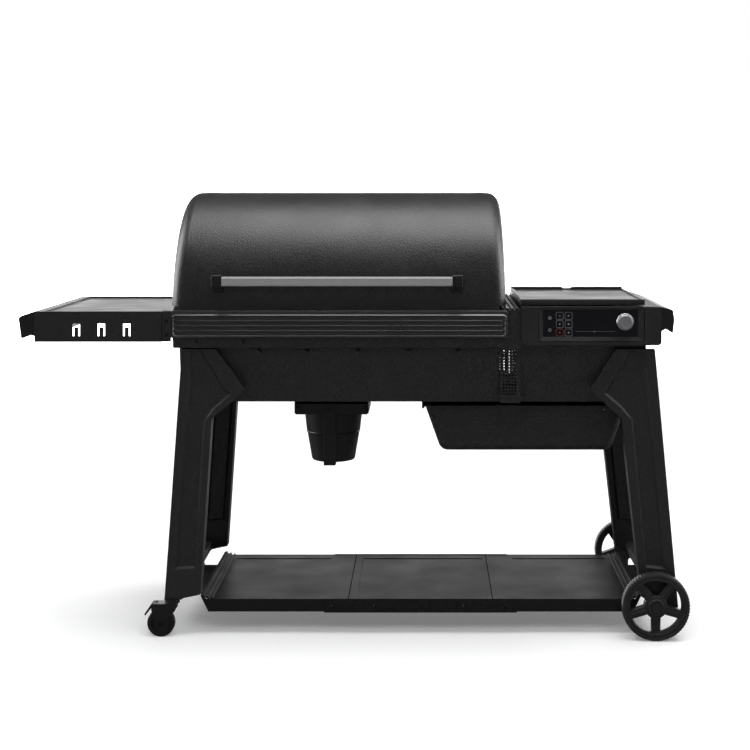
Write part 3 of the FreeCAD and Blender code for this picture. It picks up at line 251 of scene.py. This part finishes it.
def satin_paint(name, shade):
    """Satin grey paint with a fine lengthwise grain."""
    grain_scale, grain_depth = 60, 0.0001
    material = new_material(name, (shade,) * 3, 0.45, Specular_IOR_Level=0.3)
    lines = noise(material, grain_scale, 5, (1, 24, 24))
    bumped(material, (lines, 0.3, grain_depth))
    roughened(material, lines, 0.38, 0.5)
    tinted(material, lines, (shade,) * 3, 0.85, 1.15)
    return material


def moulded(name, shade, roughness):
    """Moulded plastic or rubber with a fine spark-eroded grain."""
    grain_scale, smear_scale, grain_depth = 1400, 14, 0.00012
    material = new_material(name, (shade,) * 3, roughness, IOR=1.48)
    grain = noise(material, grain_scale)
    smear = noise(material, smear_scale, 3)
    bumped(material, (grain, 0.4, grain_depth))
    roughened(material, smear, roughness - 0.05, roughness + 0.07)
    tinted(material, smear, (shade,) * 3, 0.8, 1.3)
    return material


def make_materials():
    """Every look by its short name. A powder coat's numbers are its shade, roughness, grain and specular."""
    return {
        "lid_coat": powder_coat("lid_powder_coat", 0.0075, 0.34, 1.6),
        "coat": powder_coat("powder_coat", 0.009, 0.44, 0.9),
        "panel_coat": powder_coat("panel_powder_coat", 0.009, 0.36, 0.5),
        "deck_coat": powder_coat("deck_powder_coat", 0.008, 0.46, 0.4, 0.03),
        "rail_coat": powder_coat("rail_satin_black", 0.012, 0.30, 0.3, 1.0),
        "satin_black": powder_coat("satin_black", 0.005, 0.36, 0.3),
        "steel": brushed("brushed_stainless", (0.56, 0.56, 0.55), 0.30, (1, 14, 14)),
        "handle": satin_paint("satin_grey_handle", 0.17),
        "knob": brushed("knob_satin", (0.78, 0.78, 0.79), 0.34, (20, 20, 1)),
        "black_screw": brushed("black_oxide", (0.05, 0.05, 0.052), 0.28, (4, 4, 4)),
        "enamel": new_material("porcelain_enamel", (0.02, 0.02, 0.022), 0.16, IOR=1.52),
        "galvanised": brushed("galvanised", (0.42, 0.43, 0.44), 0.42, (3, 3, 3)),
        "plastic": moulded("matte_plastic", 0.010, 0.46),
        "rubber": moulded("rubber", 0.004, 0.62),
        "wheel_disc": moulded("caster_disc", 0.007, 0.42),
        "glass": new_material("display_black", (0.002, 0.002, 0.003), 0.12, IOR=1.5),
        "ink": new_material("printed_grey", (0.11, 0.11, 0.115), 0.5),
        "faint_ink": new_material("printed_faint", (0.06, 0.06, 0.062), 0.5),
        "red_ink": new_material("printed_red", (0.13, 0.012, 0.01), 0.5),
        # painted shadow: flat black with no gloss, standing for the shade in the deck's seams
        "seam_shade": new_material("seam_shadow", (0.001, 0.001, 0.001), MATTE, Specular_IOR_Level=0.0),
        "fibre": moulded("gasket_fibre", 0.02, 0.85),
        "zinc": brushed("zinc", (0.30, 0.30, 0.31), 0.33, (4, 4, 4)),
        "board": moulded("circuit_board", 0.02, 0.4),
    }


NODE_LOOKS = {
    "lid_coat": ("lid_centre_sheet", "lid_end_caps"),
    "coat": ("barrel_shell", "barrel_end_panels", "hopper_housing", "gap_panels", "keg_collar", "bin_rails",
             "storage_bin", "leg_cross_bars", "exhaust_duct", "wheel_axles", "front_legs", "rear_legs",
             "lid_hinge_knuckles", "hinge_pins"),
    "panel_coat": ("side_shelf", "hopper_lid"),
    "deck_coat": ("shelf_end_panels", "shelf_centre_panel"),
    "satin_black": ("lid_handle_brackets", "front_rail", "side_rails", "keg_bucket", "keg_strap_handle",
                    "caster_plates", "caster_fork_front", "caster_fork_rear", "caster_pedal_front",
                    "caster_pedal_rear"),
    "steel": ("barrel_liner", "fire_pot", "auger_tube", "lid_liner", "hopper_bin", "temperature_sensor",
              "igniter_rod", "pellet_guard", "cleanout_door", "heat_baffle", "drip_tray"),
    "handle": ("lid_handle_bar",),
    "knob": ("control_knob",),
    "enamel": ("lower_grate", "upper_grate"),
    "galvanised": ("auger_motor", "blower_housing", "blower_wheel", "auger_screw"),
    "plastic": ("control_fascia", "wheel_front", "wheel_rear", "power_inlet"),
    "rubber": ("caster_wheel_front", "caster_wheel_rear"),
    "glass": ("display_glass",),
    "fibre": ("lid_gasket",),
    "zinc": ("probe_jacks",),
    "black_screw": ("body_screws",),
    "board": ("controller_board",),
}


def dress_nodes():
    for look, members in NODE_LOOKS.items():
        for name in members:
            for slot in frame["nodes"][name].material_slots:
                slot.material = LOOKS[look]


# ---------------------------------------------------------------- mesh tools, in millimetres
BODY_OF = {node: body for body, members in frame["record"]["behaviour"]["bodies"].items() for node in members}
SAME_POINT = 1e-6
FRONT = (0, 1, 0)


def node_box(node):
    """A node's lowest and highest corners."""
    low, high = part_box(node)
    return Vector(low) / MM, Vector(high) / MM


def middle_of(node):
    """The centre of a node's box."""
    low, high = node_box(node)
    return (low + high) / 2


def placed(name, mesh, node):
    """An object that rides with a CAD node's body."""
    piece = bpy.data.objects.new(name, mesh)
    bpy.context.scene.collection.objects.link(piece)
    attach(piece, BODY_OF[node])
    return piece


def make_piece(name, points, faces, look, node, sharp=35.0):
    """A closed mesh piece for a CAD node's body, with edges over the sharp angle left crisp."""
    mesh = bpy.data.meshes.new(name)
    mesh.from_pydata([Vector(point) * MM for point in points], [], faces)
    work = bmesh.new()
    work.from_mesh(mesh)
    bmesh.ops.remove_doubles(work, verts=work.verts, dist=SAME_POINT)
    bmesh.ops.recalc_face_normals(work, faces=work.faces)
    work.to_mesh(mesh)
    work.free()
    mesh.materials.append(LOOKS[look])
    mesh.shade_smooth()
    mesh.set_sharp_from_angle(angle=math.radians(sharp))
    return placed(name, mesh, node)


def break_edges(piece, width, angle=30):
    """Rounds the edges that are sharper than an angle in degrees."""
    edge = piece.modifiers.new("broken_edges", "BEVEL")
    edge.width = width * MM
    edge.segments = 2
    edge.limit_method = "ANGLE"
    edge.angle_limit = math.radians(angle)


def softened(node, width, lowest=None):
    """A copy of a CAD node with its sharp edges broken, which stands for the node.

    Where a lowest height is given, the copy ends there.
    """
    flat_angle, sharp_angle = 0.4, 40
    mesh = frame["nodes"][node].data.copy()
    work = bmesh.new()
    work.from_mesh(mesh)
    bmesh.ops.remove_doubles(work, verts=work.verts, dist=SAME_POINT)
    bmesh.ops.dissolve_limit(work, angle_limit=math.radians(flat_angle), verts=work.verts, edges=work.edges)
    work.to_mesh(mesh)
    work.free()
    if lowest is not None:
        for vertex in mesh.vertices:
            vertex.co.z = max(vertex.co.z, lowest * MM)
    mesh.shade_smooth()
    piece = placed(f"{node}_finished", mesh, node)
    break_edges(piece, width, sharp_angle)
    shading = piece.modifiers.new("face_normals", "WEIGHTED_NORMAL")
    shading.keep_sharp = True
    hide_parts(node)


def rounded_rectangle(left, low, right, high, radius, steps=6):
    """Corner arcs of a rounded rectangle, as points (across, up)."""
    corners = ((right - radius, low + radius, -90), (right - radius, high - radius, 0),
               (left + radius, high - radius, 90), (left + radius, low + radius, 180))
    return [(x + radius * math.cos(math.radians(start + 90 * i / steps)),
             z + radius * math.sin(math.radians(start + 90 * i / steps)))
            for x, z, start in corners for i in range(steps + 1)]


def sweep(name, path, radius, look, node, closed=True, sides=8):
    """A round bead along a path that lies in a plane facing front."""
    path, up = [Vector(point) for point in path], Vector(FRONT)
    count, points = len(path), []
    for i, here in enumerate(path):
        after = path[(i + 1) % count] if closed or i < count - 1 else here
        before = path[i - 1] if closed or i > 0 else here
        side = (after - before).normalized().cross(up)
        points += [here + radius * (math.cos(turn) * side + math.sin(turn) * up)
                   for turn in (math.tau * k / sides for k in range(sides))]
    faces = [(i * sides + k, i * sides + (k + 1) % sides,
              (i + 1) % count * sides + (k + 1) % sides, (i + 1) % count * sides + k)
             for i in range(count if closed else count - 1) for k in range(sides)]
    if not closed:
        faces += [tuple(range(sides)), tuple(range((count - 1) * sides, count * sides))]
    return make_piece(name, points, faces, look, node)


def turned(name, profile, centre, look, node, segments=48, wave=None, axis="Y"):
    """A closed turned ring or disc: profile points are (radius, along), wave scales the radius by segment."""
    across, up = {"Y": ((1, 0, 0), (0, 0, 1)), "Z": ((1, 0, 0), (0, 1, 0))}[axis]
    across, up = Vector(across), Vector(up)
    along = Vector([float(letter == axis) for letter in "XYZ"])
    rings, count = [], len(profile)
    for i in range(segments):
        turn = math.tau * i / segments
        out = math.cos(turn) * across + math.sin(turn) * up
        rings += [Vector(centre) + out * (wave(i, r) if wave else r) + along * a for r, a in profile]
    faces = [(i * count + k, i * count + (k + 1) % count, (i + 1) % segments * count + (k + 1) % count,
              (i + 1) % segments * count + k) for i in range(segments) for k in range(count)]
    return make_piece(name, rings, faces, look, node)


def prism_faces(count):
    """Two end caps and the sides between two outlines of the same number of points."""
    sides = [(i, (i + 1) % count, count + (i + 1) % count, count + i) for i in range(count)]
    return [tuple(range(count)), tuple(range(count, 2 * count))] + sides


def plate(name, outline, front, back, look, node, bevel=0.0):
    """A flat plate facing front: the outline is (across, up) and front and back are places along Y."""
    points = [(x, front, z) for x, z in outline] + [(x, back, z) for x, z in outline]
    piece = make_piece(name, points, prism_faces(len(outline)), look, node)
    if bevel:
        break_edges(piece, bevel)
    return piece


def loft(name, loops, look, node):
    """A closed band of faces through loops of equal length, the last joined to the first."""
    count = len(loops[0])
    points = [point for loop in loops for point in loop]
    faces = [(a * count + i, a * count + (i + 1) % count, b * count + (i + 1) % count, b * count + i)
             for a, b in ((k, (k + 1) % len(loops)) for k in range(len(loops))) for i in range(count)]
    return make_piece(name, points, faces, look, node)


def inset_loop(box, inset, radius, place):
    """A rounded rectangle drawn inset from a box (left, low, right, high), at a place along Y."""
    left, low, right, high = box
    outline = rounded_rectangle(left + inset, low + inset, right - inset, high - inset,
                                max(radius - inset, 0.5))
    return [(x, place, z) for x, z in outline]


def dome(name, place, radius, height, look, node):
    """A domed screw head with a round socket, standing out towards the front."""
    profile = [(radius * 0.42, -height * 0.35), (radius * 0.45, -height), (radius * 0.7, -height * 0.92),
               (radius * 0.92, -height * 0.55), (radius, 0), (radius * 0.42, 0)]
    return turned(name, profile, place, look, node, 30)


# ---------------------------------------------------------------- details, in millimetres
SOFTENED = {"hopper_lid": 1.2, "hopper_housing": 0.8, "side_shelf": 0.8, "control_fascia": 1.0,
            "front_legs": 0.8, "rear_legs": 0.8, "keg_collar": 0.8, "keg_strap_handle": 0.8,
            "lid_handle_brackets": 1.5, "side_rails": 1.5, "gap_panels": 0.6, "storage_bin": 0.6,
            "shelf_end_panels": 0.6, "leg_cross_bars": 1.0}


def soften_sheets():
    """Breaks the edges of pressed sheets. The keg's strap ends just under the keg."""
    keg_bottom = node_box("keg_bucket")[0].z
    for node, width in SOFTENED.items():
        softened(node, width, keg_bottom - 2.5 if node == "keg_strap_handle" else None)


def front_rail_details():
    """The front rail: a flat back with a pressed border and three ridges, all with sloping sides."""
    node, look = "front_rail", "rail_coat"
    rise, slope, crown, radius = 4.0, 3.4, 1.6, 12.0
    half, end_gap = slope + crown / 2, 9.5
    low, high = node_box(node)
    base, top = low.y + rise, low.y
    sunk = base + 0.5
    outline = rounded_rectangle(low.x, low.z, high.x, high.z, 3)
    back = plate("front_rail_back", outline, base, high.y, look, node, 0.8)
    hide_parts(node)
    border = (low.x + 0.6, low.z + 0.8, high.x - 0.6, high.z - 9)
    left, bottom, right, upper = border
    profile = ((0, sunk), (0, base), (slope, top), (slope + crown, top), (2 * slope + crown, base),
               (2 * slope + crown, sunk))
    loft("front_rail_border",
         [inset_loop(border, inset, radius, place) for inset, place in profile], look, node)
    inner_low, inner_high = bottom + 2 * slope + crown, upper - 2 * slope - crown
    pitch = (inner_high - inner_low + 2 * slope) / 4
    profile = ((0, sunk), (0, base), (slope, top), (half - 0.05, top))
    for number in range(3):
        middle = inner_low - slope + pitch * (number + 1)
        ridge = (left + end_gap, middle - half, right - end_gap, middle + half)
        loft(f"front_rail_ridge_{number + 1}",
             [inset_loop(ridge, inset, half, place) for inset, place in profile], look, node)


def display_bezel():
    """The sloping frame round the glass, wider at its left, right and lower sides."""
    low, high = node_box("display_glass")
    centre = (low + high) / 2
    face = node_box("control_fascia")[0].y
    left_width, right_width, lower_width, upper_width = 11, 15, 11, 4
    inner = rounded_rectangle(low.x + 0.5, low.z + 0.5, high.x - 0.5, high.z - 0.5, 3)
    lip = [(x + (-left_width if x < centre.x else right_width),
            z + (-lower_width if z < centre.z else upper_width)) for x, z in inner]
    loft("display_bezel", [[(x, low.y - 0.2, z) for x, z in inner], [(x, face - 0.6, z) for x, z in lip],
                           [(x, face + 1.5, z) for x, z in lip], [(x, low.y + 1.5, z) for x, z in inner]],
         "plastic", "control_fascia")


def touch_keys(glass):
    """Three rows of two printed keys, each a square outline round a small mark. One key is red."""
    half, corner, line, mark_size = 9.6, 2.2, 0.55, 2.8
    pitch_x, pitch_z, first_x, first_z = 24.3, 22.8, 558.5, 883.4
    for row in range(3):
        for column in range(2):
            x, z = first_x + pitch_x * column, first_z - pitch_z * row
            look = "red_ink" if (row, column) == (2, 0) else "ink"
            outline = rounded_rectangle(x - half, z - half, x + half, z + half, corner, 4)
            sweep(f"touch_key_{row}_{column}", [(a, glass, b) for a, b in outline], line, look,
                  "display_glass", sides=6)
            sides = 3 + 2 * column + row
            turns = [math.tau * (k + 0.5 * row) / sides for k in range(sides)]
            mark = [(x + mark_size * math.cos(turn), z + mark_size * math.sin(turn)) for turn in turns]
            plate(f"touch_mark_{row}_{column}", mark, glass - 0.3, glass + 0.2, look, "display_glass")


def slider(glass):
    """The printed level line right of the keys, with its round pointer."""
    left, right, pointer, height = 601, 711, 653, 840.7
    sweep("display_slider", [(x, glass, height) for x in (left, right)], 0.5, "faint_ink", "display_glass",
          closed=False, sides=6)
    turned("display_slider_dot", [(0.1, -0.6), (2.6, -0.6), (2.6, 0.3), (0.1, 0.3)], (pointer, glass, height),
           "faint_ink", "display_glass", 20)


def probe_jacks(glass):
    """Two probe jacks left of the keys: a bright ring round a rubber bush."""
    across = 531.5
    for number, height in enumerate((877.5, 844.5)):
        place = (across, glass, height)
        ring = turned(f"probe_jack_ring_{number + 1}",
                      [(2.5, 0.5), (2.5, -1.6), (3.2, -2.0), (4.4, -1.6), (4.9, -0.4), (4.9, 0.5)],
                      place, "knob", "probe_jacks", 28)
        turned(f"probe_jack_bush_{number + 1}", [(0.9, 0.4), (0.9, -0.4), (2.6, -0.8), (2.6, 0.4)],
               place, "rubber", "probe_jacks", 20)
        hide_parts("probe_jacks")


def display_details():
    glass = node_box("display_glass")[0].y
    display_bezel()
    touch_keys(glass)
    slider(glass)
    probe_jacks(glass)


def knob_details():
    """The turned control knob: a fluted skirt, a bright ring and a crowned cap with a pointer."""
    node, flute_depth = "control_knob", 0.5
    low, high = node_box(node)
    centre = ((low.x + high.x) / 2, 0, (low.z + high.z) / 2)
    outer, front, skirt = (high.x - low.x) / 2, low.y, low.y + 11

    def flutes(segment, radius):
        return radius - (flute_depth if radius > outer - 3 and segment % 2 else 0)
    profile = [(0.05, front + 1.2), (9, front + 0.9), (15, front + 0.5), (16.6, front), (17.8, front + 0.6),
               (18.4, front + 2), (18.8, skirt - 1), (20, skirt), (22.2, skirt + 0.2), (outer, skirt + 1.6),
               (outer, skirt + 4.4), (outer - 2.5, skirt + 5), (0.05, skirt + 5)]
    knob = turned("control_knob_turned", profile, centre, "knob", node, 96, flutes)
    pointer = rounded_rectangle(centre[0] - 0.9, centre[2] + 8, centre[0] + 0.9, centre[2] + 15, 0.85, 4)
    plate("control_knob_pointer", pointer, front + 0.1, front + 1.5, "ink", node)
    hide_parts(node)


def wheel(side):
    """A moulded wheel: ribbed tyre, stepped rim, five ribbed spokes, hub and cap."""
    node, look = f"wheel_{side}", "plastic"
    bore, rim, lug_depth, spokes = 6.6, 71, 1.9, 5
    low, high = node_box(node)
    middle = ((low.x + high.x) / 2, 0, (low.z + high.z) / 2)
    inwards, face = (1, low.y) if side == "front" else (-1, high.y)
    width, radius = high.y - low.y, (high.x - low.x) / 2

    def out(distance):
        return face + inwards * distance

    def lugs(segment, r):
        return r if r < radius - 3 or segment % 3 else r - lug_depth
    profile = [(rim, out(5)), (73, out(2)), (77, out(1.2)), (78, out(2.6)), (82, out(2.6)),
               (83, out(1)), (88, out(1.4)), (radius - 1, out(3.4)), (radius, out(6)),
               (radius, out(width - 6)), (radius - 1, out(width - 3)), (86, out(width - 1)),
               (73, out(width - 2)), (rim, out(width - 5))]
    tyre = turned(f"{node}_tyre", profile, middle, look, node, 192, lugs)
    turned(f"{node}_hub", [(bore, out(3)), (15, out(1.6)), (17, out(0.6)), (20, out(0.6)), (22, out(3.5)),
                           (27, out(4)), (31, out(7)), (32, out(10)), (32, out(width - 5)),
                           (24, out(width - 1)), (bore, out(width - 1))], middle, look, node, 64)
    for number in range(spokes):
        turn = math.tau * number / spokes - math.pi / 2
        along = Vector((math.cos(turn), 0, math.sin(turn)))
        across = Vector((-math.sin(turn), 0, math.cos(turn)))
        points = []
        for reach, half in ((29, 12.5), (73, 11)):
            section = ((-half, 9), (-half + 2, 6.5), (-4, 6.5), (-2.5, 4), (2.5, 4), (4, 6.5),
                       (half - 2, 6.5), (half, 9), (half, width - 7), (-half, width - 7))
            for place, depth in section:
                spot = Vector(middle) + along * reach + across * place
                points.append((spot.x, out(depth), spot.z))
        make_piece(f"{node}_spoke_{number + 1}", points, prism_faces(len(section)), look, node, 20)
    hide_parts(node)
    turned(f"{node}_cap", [(bore, out(0.5)), (8, out(0.7)), (12.5, out(1.8)), (14, out(4)), (14, out(6)),
                           (bore, out(6))], middle, "satin_black", node, 32)


def caster_details(side):
    """A caster's wheel with a dished disc inside its tyre, and the axle's bolt head on the fork."""
    node, fork = f"caster_wheel_{side}", f"caster_fork_{side}"
    low, high = node_box(node)
    middle = ((low.x + high.x) / 2, 0, (low.z + high.z) / 2)
    depth, radius = (low.y + high.y) / 2, (high.x - low.x) / 2
    tyre = [(24, 9), (25, 11.4), (radius - 3, 11.8), (radius - 0.8, 10.4), (radius, 8)]
    disc = [(4.1, 13.5), (8.4, 13.5), (9.4, 12.4), (11, 8.6), (22, 7), (24.4, 9)]
    for part, half, look in (("tyre", tyre, "rubber"), ("disc", disc, "wheel_disc")):
        profile = [(r, depth - reach) for r, reach in half]
        profile += [(r, depth + reach) for r, reach in reversed(half)]
        turned(f"{node}_{part}", profile, middle, look, node, 64)
    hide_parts(node)
    dome(f"caster_bolt_{side}", (middle[0], node_box(fork)[0].y, middle[2]), 6, 2.2, "black_screw", fork)


def keg_details():
    """Bead round the keg, the corner bolts of its face and the collar's latch tab."""
    pot = middle_of("fire_pot")
    height, radius, bolt_height = 524, 77.0, 604
    bead = [(radius - 2, height + 4), (radius + 1, height + 2.2), (radius + 1.9, height),
            (radius + 1, height - 2.2), (radius - 2, height - 4)]
    turned("keg_bead", bead, (pot.x, pot.y, 0), "satin_black", "keg_bucket", 96, axis="Z")
    low, high = node_box("keg_bucket")
    for number, x in enumerate((low.x + 7, high.x - 7)):
        dome(f"keg_face_bolt_{number + 1}", (x, low.y, bolt_height), 4.2, 2.4, "black_screw", "keg_bucket")
    low, high = node_box("keg_collar")
    latch = [(high.x - 1, 626), (high.x + 6, 634), (high.x + 2, 640), (high.x - 4, 633)]
    plate("keg_latch_tab", latch, low.y + 1, low.y + 13, "zinc", "keg_collar", 0.8)


def bin_details():
    """Two pressed bead lines on the bin's front and two screws near the end of its rim."""
    node, rim_width = "storage_bin", 4
    low, high = node_box(node)
    front = low.y + rim_width
    beads = ((low.x + 17, high.x - 24, 590, 1.5), (low.x + 26, high.x - 32, 560, 1.0))
    for number, (start, end, height, radius) in enumerate(beads):
        sweep(f"bin_bead_{number + 1}", [(start, front + 0.6, height), (end, front + 0.6, height)], radius,
              "coat", node, closed=False)
    for number, x in enumerate((high.x - 70, high.x - 52)):
        dome(f"bin_screw_{number + 1}", (x, front, high.z - 11), 3.2, 1.6, "zinc", node)


def shelf_details():
    """The bumper under the side shelf's corner and the lug under its front edge."""
    node = "side_shelf"
    bumper_x, bumper_y, lug_left, lug_right, lug_low, lug_top = -842, -290, -624, -585, 818, 826
    turned("shelf_bumper", [(0.05, 812), (3.5, 812.6), (5, 815), (5.2, 822), (4, 826), (0.05, 826)],
           (bumper_x, bumper_y, 0), "rubber", node, 24, axis="Z")
    front = node_box(node)[0].y
    strip = rounded_rectangle(lug_left, lug_low, lug_right, lug_top, 2.2, 3)
    plate("shelf_front_lug", strip, front + 2, front + 10, "panel_coat", node, 0.6)


def deck_details():
    """Painted shadow in the seams between the bottom shelf's three panels, drawn as flat black matte strips,
    and the screws of its front splice plate.
    """
    node, deck_top, half_width, screw_height, end_gap = "shelf_centre_panel", 97.5, 1.1, 80, 4.5
    low, high = node_box(node)
    # Painted shadow: a flat black matte strip on the deck top stands for the shade in each seam.
    for number, x in enumerate((-20, 378)):
        strip = rounded_rectangle(x - half_width, deck_top - 0.6, x + half_width, deck_top + 0.5, 0.3, 2)
        plate(f"deck_seam_shadow_{number + 1}", strip, low.y + end_gap, high.y - end_gap, "seam_shade", node)
    for number, x in enumerate((-62, 54, 299, 415)):
        dome(f"splice_screw_{number + 1}", (x, low.y, screw_height), 4.4, 1.8, "zinc", node)


camera()
stage()
LOOKS = make_materials()
dress_nodes()
front_rail_details()
display_details()
knob_details()
soften_sheets()
for wheel_side in ("front", "rear"):
    wheel(wheel_side)
    caster_details(wheel_side)
keg_details()
bin_details()
shelf_details()
deck_details()
